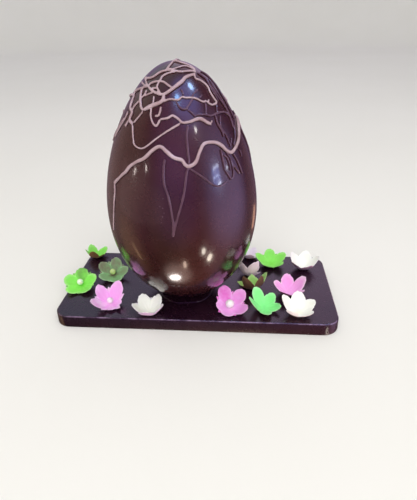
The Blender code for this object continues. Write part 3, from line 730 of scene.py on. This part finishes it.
milkSet = {
    "look": {"low": "#a2858a", "high": "#bda6af", "roughness": 0.36, "coat": 0.2, "soft": 0.05},
    "wave": ((0.75, 0.9, 0.85, 0.87, 0.78, 0.85, 0.9, 0.9, 0.9, 0.9), [
        (-37, 73), (-34.5, 75), (-31.5, 77), (-29, 78.5), (-26.5, 81), (-22.5, 83), (-18, 84.5), (-13.5, 88),
        (-9.5, 89.5), (-6, 86.5), (-3, 84), (1, 82.5), (2.5, 80.3), (4.5, 79.5), (8, 81.5), (10.5, 87),
        (13, 90.5), (18.5, 91), (22, 89.5), (24.5, 87.3), (27.5, 86.5), (30.5, 90), (32.3, 94.5), (33, 103),
        (33, 107)]),
    "waveBack": [
        (97, 113), (103, 111), (110, 101), (118, 92), (128, 83), (140, 80), (152, 92), (166, 101), (182, 92),
        (196, 78), (212, 84), (226, 93), (240, 82), (252, 66), (263, 56)],
    "front": {
        "tail": ((0.5, 0.42), [(-37, 73), (-37, 69.5), (-38.5, 63), (-40, 56), (-41, 51), (-42, 46.5)]),
        "crownLeft": ((0.5,), [(-0.5, 133.5), (-1.5, 131.5), (-4, 128), (-5, 126.5)]),
        "crownRight": ((0.55,), [(-0.5, 133), (3.5, 131.5), (7.5, 130), (9.5, 128.3), (10, 126)]),
        "brow": ((0.55,), [(-16, 125.5), (-14, 124.5), (-11.5, 124.5), (-7.5, 126.5), (-3.5, 127), (2, 126),
                           (6, 126.5), (10, 127)]),
        "browHigh": ((0.4,), [(-4, 128), (-1.2, 127.7), (1.5, 128.5), (5.2, 129.6), (8.5, 128.5), (10, 127.5)]),
        "smallLink": ((0.5,), [(-8, 121.5), (-6.5, 124), (-3, 125.5), (0, 126)]),
        "fold": ((0.5, 0.5, 0.65, 0.7, 0.95, 0.9, 0.6), [
            (-16, 125), (-14.5, 120.5), (-12, 117), (-9, 115), (-7.5, 114.5), (-5, 115), (-1, 117.5),
            (3, 120.5), (4.8, 122.7), (8.5, 124.5), (10, 125)]),
        "curl": ((0.55,), [(-14, 120.5), (-11, 121.5), (-6.5, 121), (-4, 119), (-2, 117.5)]),
        "kink": ((0.5,), [(-8.5, 121), (-9.5, 119), (-9, 117), (-8, 115)]),
        "kinkSide": ((0.42,), [(-12.5, 118), (-11.5, 118.5), (-10, 118)]),
        "loop": ((0.5,), [(9.5, 125), (10.2, 122.7), (12.5, 122), (16, 119.5), (17.2, 116.5), (19, 113.5),
                          (20.5, 111.5), (18.8, 110.1), (17, 110), (15, 111.5)]),
        "garland": ((0.5,), [(-7, 111), (-3.5, 112), (0.5, 111.5), (2.7, 113), (4.5, 112.5), (9, 112.5),
                             (13, 111), (15, 111.5)]),
        "blob": ((0.8, 1.0, 1.0, 0.75), [(-6.5, 114), (-6.7, 112), (-8.5, 110.5), (-12.5, 109.5), (-17, 108)]),
        "midLink": ((0.7,), [(-6.5, 114), (-6.2, 113.4), (-6, 113)]),
        "leftLoop": ((0.6,), [(-17, 108), (-18.2, 109.2), (-18.5, 113.5), (-18, 117.5), (-17.5, 119)]),
        "slope": ((0.45,), [(-18, 114.5), (-16.2, 115.9), (-15, 118)]),
        "slopeLow": ((0.42,), [(-16.5, 115), (-14.3, 115.8), (-12, 116)]),
        "leftTop": ((0.6,), [(-22.5, 118.5), (-21, 119.5), (-17.5, 119.8), (-15, 120)]),
        "leftFine": ((0.4,), [(-18, 124), (-17, 122), (-15, 119.5)]),
        "leftLong": ((0.65,), [(-22, 118.5), (-23, 115.5), (-24.5, 111), (-23.5, 108), (-25, 105), (-24, 103)]),
        "leftCross": ((0.42,), [(-18.5, 113.5), (-21.5, 111.5), (-23.5, 109.5)]),
        "leftLow": ((0.42,), [(-17.5, 107.5), (-20, 105), (-23, 102.5)]),
        "leftCorner": ((0.75,), [(-25.5, 105), (-24.5, 103.5), (-23.5, 102)]),
        "leftEnd": ((0.55,), [(-25.5, 104.5), (-26.5, 103.5), (-28, 101.5)]),
        "outer": ((0.4,), [(-26, 109.5), (-28, 106), (-32, 102), (-35.5, 98)]),
        "outerLow": ((0.4,), [(-28, 106.5), (-32.5, 103), (-36, 99.5), (-38, 97)]),
        "thread": ((0.5, 0.42, 0.45, 0.5), [
            (-23.5, 102), (-23.5, 94), (-23, 91.5), (-20.5, 89.6), (-17, 90), (-9.5, 94.5), (-3, 98), (1, 100)]),
        "slingLeft": ((0.5,), [(-13, 108.5), (-13.5, 104.5), (-12.5, 101), (-11, 99.5), (-9.7, 101), (-9, 102.5)]),
        "slingMiddle": ((0.55,), [(-9, 102.5), (-5, 103), (-2.5, 104), (0, 102.5), (2.5, 100.5), (6.5, 101)]),
        "slingRight": ((0.7, 0.85, 0.85, 0.75), [(5.5, 100.5), (9, 102), (11.5, 102.3), (15, 100.5), (17, 100)]),
        "spikeRight": ((0.45,), [(17, 100.5), (17.2, 101.3), (17.5, 102)]),
        "spikeLoop": ((0.45,), [(16, 111), (16.2, 111.8), (16.5, 112.5)]),
        "slingSide": ((0.5,), [(-8, 109), (-8.7, 106), (-9.7, 104.4), (-11.5, 104.5)]),
        "link": ((0.45,), [(-11.5, 114.5), (-11.5, 113), (-12, 110.5)]),
    },
    "back": {
        "over": ((0.5,), [(0, 142.6), (165, 142), (172, 137), (158, 131), (163, 124)]),
        "fold": ((0.6, 0.75, 0.7), [(104, 122), (130, 128), (165, 123), (200, 127), (235, 121), (262, 125),
                                    (282, 127), (295, 128)]),
        "garland": ((0.55,), [(92, 116), (104, 112), (122, 118), (138, 108), (156, 115), (172, 106), (190, 113),
                              (206, 104), (222, 112), (240, 104), (256, 112), (272, 119)]),
        "drop": ((0.5,), [(110, 124), (112, 112), (108, 101)]),
        "dropLeft": ((0.5,), [(228, 122), (220, 110), (224, 98), (227, 92)]),
    },
}


def makeMilkDrizzle():
    verts, faces = [], []
    radii, points = milkSet["wave"]
    wave = [frontPoint(u, v) for u, v in points] + [roundPoint(a, h) for a, h in milkSet["waveBack"]]
    addStrand(verts, faces, wave, radii, 1)
    for seed, (radii, points) in enumerate(milkSet["front"].values()):
        addStrand(verts, faces, [frontPoint(u, v) for u, v in points], radii, seed + 2)
    for seed, (radii, points) in enumerate(milkSet["back"].values()):
        addStrand(verts, faces, [roundPoint(a, h) for a, h in points], radii, seed + 60)
    milk = setDrizzle("milkChocolateDrizzle", milkSet["look"])
    drizzle = fuseStrands("milkDrizzle", verts, faces, milk)
    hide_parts("milk_drizzle")
    print("milk drizzle fused:", len(drizzle.data.polygons), "faces")


darkSet = {
    # lighter and more mauve than the egg's chocolate: a painted sheen over the strands' own dark colour
    "look": {"low": "#4c2f3a", "high": "#624552", "roughness": 0.3, "coat": 0.4, "soft": 0.0},
    "front": {
        "vLeft": ((0.62,), [(-7.5, 83.5), (-8.5, 78.5), (-8.6, 71), (-7, 65), (-6, 58), (-5.4, 50.5), (-6, 43.5)]),
        "vRight": ((0.58,), [(5, 99.5), (4, 94), (4.3, 86.5), (4.5, 81), (3, 75.5), (1.5, 67.5), (-0.5, 60.5),
                            (-3.5, 52), (-6, 43.5)]),
        "slant": ((0.45,), [(4.5, 78.5), (10, 75), (17, 70), (21, 69.4), (24.8, 71.8)]),
        "cup": ((0.5,), [(-0.5, 111.5), (1, 108.3), (2.8, 107), (5, 107.8), (8, 112)]),
        "cupSide": ((0.45,), [(5, 107), (7, 105.3), (9, 103)]),
        "postLeft": ((0.45,), [(14.5, 112.5), (14.6, 108.5), (14.5, 104.5)]),
        "postRight": ((0.45,), [(20.5, 111), (20.4, 108), (20.5, 105)]),
        "shelf": ((0.5,), [(9, 104), (14, 104.5), (17, 104.2), (21, 106), (25.3, 107), (27.5, 105.5),
                           (28.5, 103.5)]),
        "tickLeft": ((0.4,), [(7.5, 113), (9, 115), (11, 117)]),
        "tickRight": ((0.4,), [(11.5, 112.5), (12.2, 113.5), (13, 114.5)]),
        "tickMiddle": ((0.4,), [(3.5, 113.5), (3, 115.5), (2, 117)]),
        "shoulderOne": ((0.5,), [(11, 126.5), (15.5, 123.5), (18.5, 119.5), (21.5, 115), (25, 110.5), (28, 105),
                                 (29.5, 99.5)]),
        "shoulderTwo": ((0.5,), [(13, 128), (16.5, 127), (20, 124.3), (24, 117.5), (27, 112.5), (31, 104.5)]),
        "shoulderThree": ((0.45,), [(17, 124.5), (20, 119.5), (23.5, 114.5), (26, 109.5), (27.5, 106.5)]),
        "shoulderFour": ((0.4,), [(16, 123), (18, 118.7), (20.5, 114.5), (21.5, 112.5)]),
        "hookLong": ((0.45,), [(22, 105), (22.1, 99), (24.3, 96), (26, 92.5), (26.5, 90.5)]),
        "hookShort": ((0.45,), [(28, 94), (27.5, 91.5), (27, 89)]),
        "hookLeft": ((0.5,), [(19.5, 104.5), (20.4, 100.7), (22.6, 97), (23.5, 94)]),
        "edgeThick": ((0.6,), [(30, 101), (30.4, 96.5), (30, 93.5), (29, 90)]),
        "lowOne": ((0.5,), [(24.5, 86.5), (26.8, 83), (29, 79.3), (32.5, 75.5)]),
        "lowTwo": ((0.45,), [(28.5, 86), (31, 82.3), (34, 75.5)]),
        "lowThree": ((0.5,), [(21.5, 88), (22.5, 82.5), (23.6, 77.4), (27, 72.5)]),
        "lowFour": ((0.45,), [(23, 85), (25, 83.5), (26.3, 80), (26.5, 77)]),
        "lowFive": ((0.4,), [(32.5, 88.5), (33.5, 86.5), (34, 84.5)]),
        "lowFoot": ((0.42,), [(27, 72.5), (28.4, 74.6), (28, 79), (26.5, 83.5)]),
    },
    "back": [
        ((0.5,), [(96, 118), (110, 108), (124, 112), (132, 98), (144, 104), (158, 96), (170, 110), (186, 100),
                  (198, 106), (214, 96), (232, 108), (250, 98)]),
        ((0.45,), [(120, 106), (124, 92), (130, 74), (134, 58), (138, 74), (141, 90), (146, 108)]),
        ((0.45,), [(176, 104), (180, 88), (185, 68), (190, 86), (194, 104)]),
        ((0.45,), [(230, 104), (236, 88), (243, 72), (247, 90), (252, 106)]),
        ((0.5,), [(84, 112), (96, 100), (104, 88), (112, 96), (118, 110)]),
        ((0.42,), [(150, 128), (152, 112), (160, 98), (168, 86)]),
        ((0.42,), [(204, 128), (208, 112), (202, 100), (198, 90)]),
    ],
    "spots": [(-10, 64), (-10.5, 59), (-11, 54.5), (-12, 51.5), (-12, 60), (-10, 56.5), (-5, 88.5), (-16, 79)],
    "splashes": 34,
    "splashSizes": (0.18, 0.4),  # mm
}


def makeDarkDrizzle():
    verts, faces = [], []
    for seed, (radii, points) in enumerate(darkSet["front"].values()):
        addStrand(verts, faces, [frontPoint(u, v) for u, v in points], radii, seed + 80)
    for seed, (radii, points) in enumerate(darkSet["back"]):
        addStrand(verts, faces, [roundPoint(a, h) for a, h in points], radii, seed + 120)
    dark = setDrizzle("darkChocolateDrizzle", darkSet["look"])
    drizzle = fuseStrands("darkDrizzle", verts, faces, dark)
    dice = random.Random(11)
    verts, faces = [], []
    low, high = darkSet["splashSizes"]
    for u, v in darkSet["spots"]:
        addDrop(verts, faces, frontPoint(u, v), dice.uniform(low, high) * mm)
    for _ in range(darkSet["splashes"]):  # flicks from the spoon, thicker near the crown
        height = 130 - 75 * dice.random() ** 1.6
        place = roundPoint(dice.uniform(60, 300), height)
        addDrop(verts, faces, place, dice.uniform(low, high) * mm)
    meshPiece("splashDrops", [eggBase + v for v in verts], faces, dark)
    print("dark drizzle fused:", len(drizzle.data.polygons), "faces")


# blossoms: five petals stamped from gum paste and pressed into a cup
even = (1, 1, 1, 1, 1)
blossomSet = {
    "petals": 5,
    "rings": 22,
    "samples": 26,  # round each petal
    "thick": 0.9 * mm,
    "veins": 5,
    "veinDepth": 0.09 * mm,
    "curl": 0.02,
    "ripple": 0.03,
    "frill": 0.022,  # crimping along the rim, as a share of the radius
    # node: lean direction, lean, turn, radius mm, cup, notch, roundness
    "flowers": {
        "blossom_green_corner": (60, 14, 56, 11.0, 0.70, 0.64, 1.8),
        "blossom_lime": (-90, 20, 24, 12.4, 0.42, 0.72, 2.2),
        "blossom_moss": (-75, 24, 12, 11.8, 0.55, 0.68, 2.0),
        "blossom_pink_left": (-65, 20, 71, 12.6, 0.70, 0.62, 1.8),
        "blossom_white_left": (-90, 3, -18, 11.0, 0.80, 0.74, 1.6),
        "blossom_pink_front": (-80, 24, 45, 12.3, 0.60, 0.66, 2.3),
        "blossom_mint": (-70, 18, 57, 11.5, 0.60, 0.62, 1.8),
        "blossom_cream": (-90, 12, 18, 12.2, 0.75, 0.70, 1.5),
        "blossom_pink_right": (-70, 6, 27, 11.8, 0.70, 0.70, 1.9),
        "blossom_white_corner": (-90, 4, 2, 11.6, 0.80, 0.75, 1.5),
        "blossom_green_back": (-90, 10, 26, 11.5, 0.55, 0.68, 1.9),
        "blossom_lilac_back": (30, 16, -12, 11.0, 0.62, 0.62, 1.6),
        "blossom_lilac_front": (65, 46, -1, 11.0, 0.75, 0.62, 1.4),
        "blossom_olive": (130, 18, 24, 11.6, 0.85, 0.66, 1.4),
    },
    # how long and how steep each petal is beside the rest
    "lengths": {
        "blossom_green_corner": (1, 1, 0.75, 0.8, 0.8),
        "blossom_pink_left": (1.08, 1, 1.05, 0.68, 0.65),
        "blossom_pink_front": (1.05, 1.05, 0.75, 0.85, 1.05),
        "blossom_mint": (0.9, 1.1, 1.12, 1, 0.92),
        "blossom_cream": (0.92, 0.96, 1, 1, 1),
        "blossom_green_back": (1.05, 1, 1.12, 1, 1),
        "blossom_lilac_back": (0.75, 1, 1, 1, 1),
        "blossom_lilac_front": (0.8, 0.8, 1, 0.88, 1.08),
        "blossom_olive": (1, 0.9, 1, 0.95, 0.9),
    },
    "lifts": {
        "blossom_mint": (1, 1, 1.5, 1, 1),
        "blossom_cream": (1, 1, 1.25, 1, 1),
        "blossom_pink_right": (1.35, 1, 1, 1, 1),
        "blossom_white_corner": (1.15, 1, 1.1, 1, 1),
        "blossom_olive": (1, 1, 0.7, 1.5, 1.4),
        "blossom_green_corner": (1, 1, 1.4, 1.5, 1),
    },
    # which paste, and how heavily each petal is dusted
    "colours": {
        "blossom_green_corner": ("leaf", (0.1, 0.2, 0.6, 0.8, 0.3)),
        "blossom_lime": ("lime", (0.1, 0.9, 0.2, 0.0, 0.2)),
        "blossom_moss": ("moss", (0.6, 0.9, 1.0, 0.3, 0.1)),
        "blossom_pink_left": ("roseLeft", (0.15, 0.2, 1.0, 0.7, 0.3)),
        "blossom_white_left": ("snow", (0.4, 0.2, 0.1, 0.0, 0.2)),
        "blossom_pink_front": ("roseFront", (0.45, 1.0, 0.25, 0.1, 0.3)),
        "blossom_mint": ("mint", (0.3, 0.1, 0.0, 0.2, 0.3)),
        "blossom_cream": ("cream", (0.0, 0.1, 0.2, 0.9, 0.1)),
        "blossom_pink_right": ("blush", (0.2, 0.9, 0.3, 0.2, 0.3)),
        "blossom_white_corner": ("snowCorner", (0.1, 0.0, 0.4, 0.3, 0.2)),
        "blossom_green_back": ("grass", (0.1, 0.3, 0.2, 0.1, 0.2)),
        "blossom_lilac_back": ("lilac", (0.2, 0.4, 0.3, 0.8, 0.4)),
        "blossom_lilac_front": ("lilac", (0.1, 0.2, 0.3, 0.4, 0.2)),
        "blossom_olive": ("olive", (0.1, 0.2, 0.7, 0.9, 0.5)),
    },
    # a second, pointed blossom underneath: share of the radius, share of the cup
    "under": {
        "blossom_lime": (0.9, 0.8),
        "blossom_moss": (0.86, 0.8),
        "blossom_pink_left": (0.84, 0.75),
        "blossom_white_left": (0.88, 0.75),
        "blossom_pink_front": (0.84, 0.75),
        "blossom_green_back": (0.84, 0.75),
    },
    "underNotch": 0.45,
    "underRoundness": 1.0,
    # paste: throat, petal, edge (the paler rim, partly a painted rim highlight), back, dusting, record slot
    "pastes": {
        "leaf": ("#78d840", "#8ce45a", "#a9f283", "#86603a", "#62b436", "paste_green"),
        "grass": ("#84e452", "#92ee66", "#aef58c", "#6ea94a", "#78d248", "paste_green"),
        "lime": ("#78dc46", "#8aee5a", "#aff58e", "#a3dc74", "#6aa848", "paste_green"),
        "moss": ("#6a4a3e", "#8bc084", "#b6e8b2", "#94b084", "#8a8470", "paste_moss"),
        "roseLeft": ("#f4c6f0", "#f4a4f0", "#fac6f6", "#e9b2e4", "#f2d0f2", "paste_pink"),
        "roseFront": ("#f8dcf2", "#f3aef0", "#fac8f6", "#eaa8e0", "#e372cc", "paste_pink"),
        "blush": ("#f4b4ea", "#f3b0ea", "#fde2f6", "#a64c80", "#ee96dc", "paste_pink"),
        # snow's violet back stands for its underside in shade: painted shade
        "snow": ("#f3f5ea", "#f6f7f0", "#fbfaf8", "#e6bedf", "#e9e0f0", "paste_white"),
        "cream": ("#f3f6e4", "#f8faf2", "#fbfbf7", "#f4dcd8", "#f4d6d4", "paste_white"),
        "snowCorner": ("#f3f6ec", "#f6f9f1", "#faf9f8", "#c096b4", "#eadcea", "paste_white"),
        "mint": ("#84ee8c", "#8df394", "#b2f7b4", "#9a8a4a", "#7ee27e", "paste_mint"),
        "lilac": ("#ddd2ea", "#f2ecf6", "#faf6fb", "#fbe0ee", "#dcc0e6", "paste_lilac"),
        "olive": ("#8cb654", "#a4e074", "#c4ec9c", "#7c5842", "#8e9a4c", "paste_olive"),
    },
}


def petalOutline(angle, notch, roundness, lengths, lifts):
    turn = angle * blossomSet["petals"] / math.tau
    away = abs((turn + 0.5) % 1 - 0.5) * 2
    petal = math.floor(turn + 0.5) % blossomSet["petals"]
    near = 1 - away ** 4
    edge = (1 - (1 - notch) * away ** roundness) * (1 + (lengths[petal] - 1) * near)
    return edge, 1 + (lifts[petal] - 1) * near, away, near, petal


def blossomShape(radius, cup, notch, roundness, lengths, lifts, tones, seed):
    rings, around = blossomSet["rings"], blossomSet["petals"] * blossomSet["samples"]
    middle = np.zeros((rings + 1, around, 3))
    share = np.zeros((rings + 1, around))
    tone = np.zeros((rings + 1, around))
    for side in range(around):
        angle = math.tau * side / around
        edge, lift, away, near, petal = petalOutline(angle, notch, roundness, lengths, lifts)
        ripple = noise.noise(Vector((math.cos(angle) * 9, math.sin(angle) * 9, seed)))
        crimp = noise.noise(Vector((math.cos(angle) * 6, math.sin(angle) * 6, seed + 0.5)))
        vein = math.cos(away * math.pi * blossomSet["veins"] / 2) * blossomSet["veinDepth"]
        for ring in range(rings + 1):
            part = 1 - (1 - ring / rings) ** 1.35  # rings crowd towards the rim
            reach = part * edge * (1 + (blossomSet["ripple"] * ripple - 0.03 * abs(crimp)) * part ** 3)
            spread = radius * reach
            height = cup * lift * radius * reach ** 2
            height += blossomSet["curl"] * radius * part ** 3 * away ** 2 * near  # sides of a petal turn up
            height += vein * math.sin(math.pi * min(1.0, part * 1.02)) * 0.6
            height += blossomSet["frill"] * radius * crimp * part ** 4
            middle[ring, side] = (spread * math.cos(angle), spread * math.sin(angle), height)
            share[ring, side] = part
            tone[ring, side] = tones[petal] * near * min(1.0, part * 2)
    return middle, share, tone


def blossomMesh(name, shape, thick, paste):
    middle, share, tone = shape
    rings, around = middle.shape[0] - 1, middle.shape[1]
    alongRing = np.roll(middle, -1, 1) - np.roll(middle, 1, 1)
    outward = np.gradient(middle, axis=0)
    normal = np.cross(outward, alongRing)
    size = np.linalg.norm(normal, axis=2, keepdims=True)
    normal = normal / np.maximum(size, 1e-12)
    normal[0] = (0, 0, 1)
    rim = np.sqrt(np.clip(1 - share ** 14, 0.03, 1))
    half = (thick / 2 * (1 - 0.35 * share ** 2) * rim)[..., None]
    upper = middle + normal * half
    lower = middle - normal * half
    verts = [tuple(upper[0, 0])] + [tuple(p) for p in upper[1:].reshape(-1, 3)]
    verts += [tuple(lower[0, 0])] + [tuple(p) for p in lower[1:].reshape(-1, 3)]
    jump = 1 + rings * around
    faces = []
    for side in range(around):
        after = (side + 1) % around
        faces.append((0, 1 + side, 1 + after))
        faces.append((jump, jump + 1 + after, jump + 1 + side))
        for ring in range(rings - 1):
            a, b = 1 + ring * around + side, 1 + ring * around + after
            faces.append((a, a + around, b + around, b))
            faces.append((jump + a, jump + b, jump + b + around, jump + a + around))
        a, b = 1 + (rings - 1) * around + side, 1 + (rings - 1) * around + after
        faces.append((a, jump + a, jump + b, b))
    material, slotName = paste
    piece = meshPiece(name, verts, faces, material)
    one = np.concatenate(([0.0], share[1:].ravel()))
    dust = np.concatenate(([0.0], tone[1:].ravel()))
    facts = {"reach": np.concatenate((one, one)), "tone": np.concatenate((dust, dust)),
             "under": np.concatenate((np.zeros(jump), np.ones(jump)))}
    for label, values in facts.items():
        layer = piece.data.attributes.new(label, "FLOAT", "POINT")
        layer.data.foreach_set("value", values.astype(np.float32))
    return piece


def pieceSpots(piece):
    return np.array([v.co for v in piece.data.vertices])


def makeBlossoms():
    pastes = {}
    for label, (throat, petal, edge, back, dusted, slotName) in blossomSet["pastes"].items():
        title = f"gumPaste{label[0].upper()}{label[1:]}"
        pastes[label] = (gumPaste(title, throat, petal, edge, back, dusted), slotName)
    thick = blossomSet["thick"]
    for seed, (node, values) in enumerate(blossomSet["flowers"].items()):
        leanTo, lean, turn, radius, cup, notch, roundness = values
        label, tones = blossomSet["colours"][node]
        lengths = blossomSet["lengths"].get(node, even)
        lifts = blossomSet["lifts"].get(node, even)
        words = node.split("_")
        title = words[0] + "".join(word.capitalize() for word in words[1:])
        shape = blossomShape(radius * mm, cup, notch, roundness, lengths, lifts, tones, seed)
        piece = blossomMesh(title, shape, thick, pastes[label])
        # turned and leaned as the node is, its box over the node's and its lowest petal on the slab
        side = math.radians(leanTo)
        hinge = Vector((-math.sin(side), math.cos(side), 0))
        pose = Matrix.Rotation(math.radians(lean), 4, hinge) @ Matrix.Rotation(math.radians(turn), 4, "Z")
        piece.data.transform(pose)
        spots = pieceSpots(piece)
        low, high = (Vector(c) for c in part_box(node))
        shift = (low + high) / 2 - Vector((spots.min(0) + spots.max(0)) / 2)
        shift.z = slabTop - spots[:, 2].min()
        piece.data.transform(Matrix.Translation(shift))
        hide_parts(node)
        if node in blossomSet["under"]:
            size, flatter = blossomSet["under"][node]
            star = blossomShape(radius * size * mm, cup * flatter, blossomSet["underNotch"],
                                blossomSet["underRoundness"], even, even, even, seed + 30)
            layer = blossomMesh(title + "Under", star, thick * 0.7, pastes[label])
            layer.data.transform(Matrix.Translation(shift) @ pose @ Matrix.Rotation(math.radians(36), 4, "Z")
                                 @ Matrix.Translation((0, 0, -0.7 * thick)))
            raise_ = max(0.0, slabTop - pieceSpots(layer)[:, 2].min())
            layer.data.transform(Matrix.Translation((0, 0, raise_)))
    print("blossoms pressed:", len(blossomSet["flowers"]))


pearlSet = {
    "segments": 40,
    "rings": 24,
    "uneven": 0.05 * mm,
    "pearls": {
        "pearl_lime": ("#e4f6cf", "#f6fbee"),
        "pearl_moss": ("#c4e08c", "#d9ee9f"),
        "pearl_pink_left": ("#f5e4f3", "#fbf3fa"),
        "pearl_pink_front": ("#f6eef2", "#fdfafa"),
    },
}


def makePearls():
    for node, (body, glow) in pearlSet["pearls"].items():
        low, high = (Vector(c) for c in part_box(node))
        centre = (low + high) / 2
        radius = (high.z - low.z) / 2
        verts = [centre + Vector((0, 0, radius))]
        rings, segments = pearlSet["rings"], pearlSet["segments"]
        for ring in range(1, rings):
            lean = math.pi * ring / rings
            for side in range(segments):
                angle = math.tau * side / segments
                out = Vector((math.sin(lean) * math.cos(angle), math.sin(lean) * math.sin(angle), math.cos(lean)))
                bump = pearlSet["uneven"] * noise.noise(out * 1.8 + centre / mm)
                verts.append(centre + out * (radius + bump))
        verts.append(centre - Vector((0, 0, radius)))
        last = len(verts) - 1
        faces = []
        for side in range(segments):
            after = (side + 1) % segments
            faces.append((0, 1 + side, 1 + after))
            faces.append((last, last - segments + after, last - segments + side))
            for ring in range(rings - 2):
                a, b = 1 + ring * segments + side, 1 + ring * segments + after
                faces.append((a, a + segments, b + segments, b))
        words = node.split("_")
        title = words[0] + "".join(word.capitalize() for word in words[1:])
        piece = meshPiece(title, verts, faces, sugarPearl(f"sugarPearl{title[5:]}", body, glow))
        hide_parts(node)
    print("pearls set:", len(pearlSet["pearls"]))


bpy.context.scene.view_settings.view_transform = "Standard"
placeCamera()
lightStudio()
paintRoom()
layCove()
makeEgg()
slabChocolate = makeSlab()
makeFoot(slabChocolate)
makeMilkDrizzle()
makeDarkDrizzle()
makeBlossoms()
makePearls()
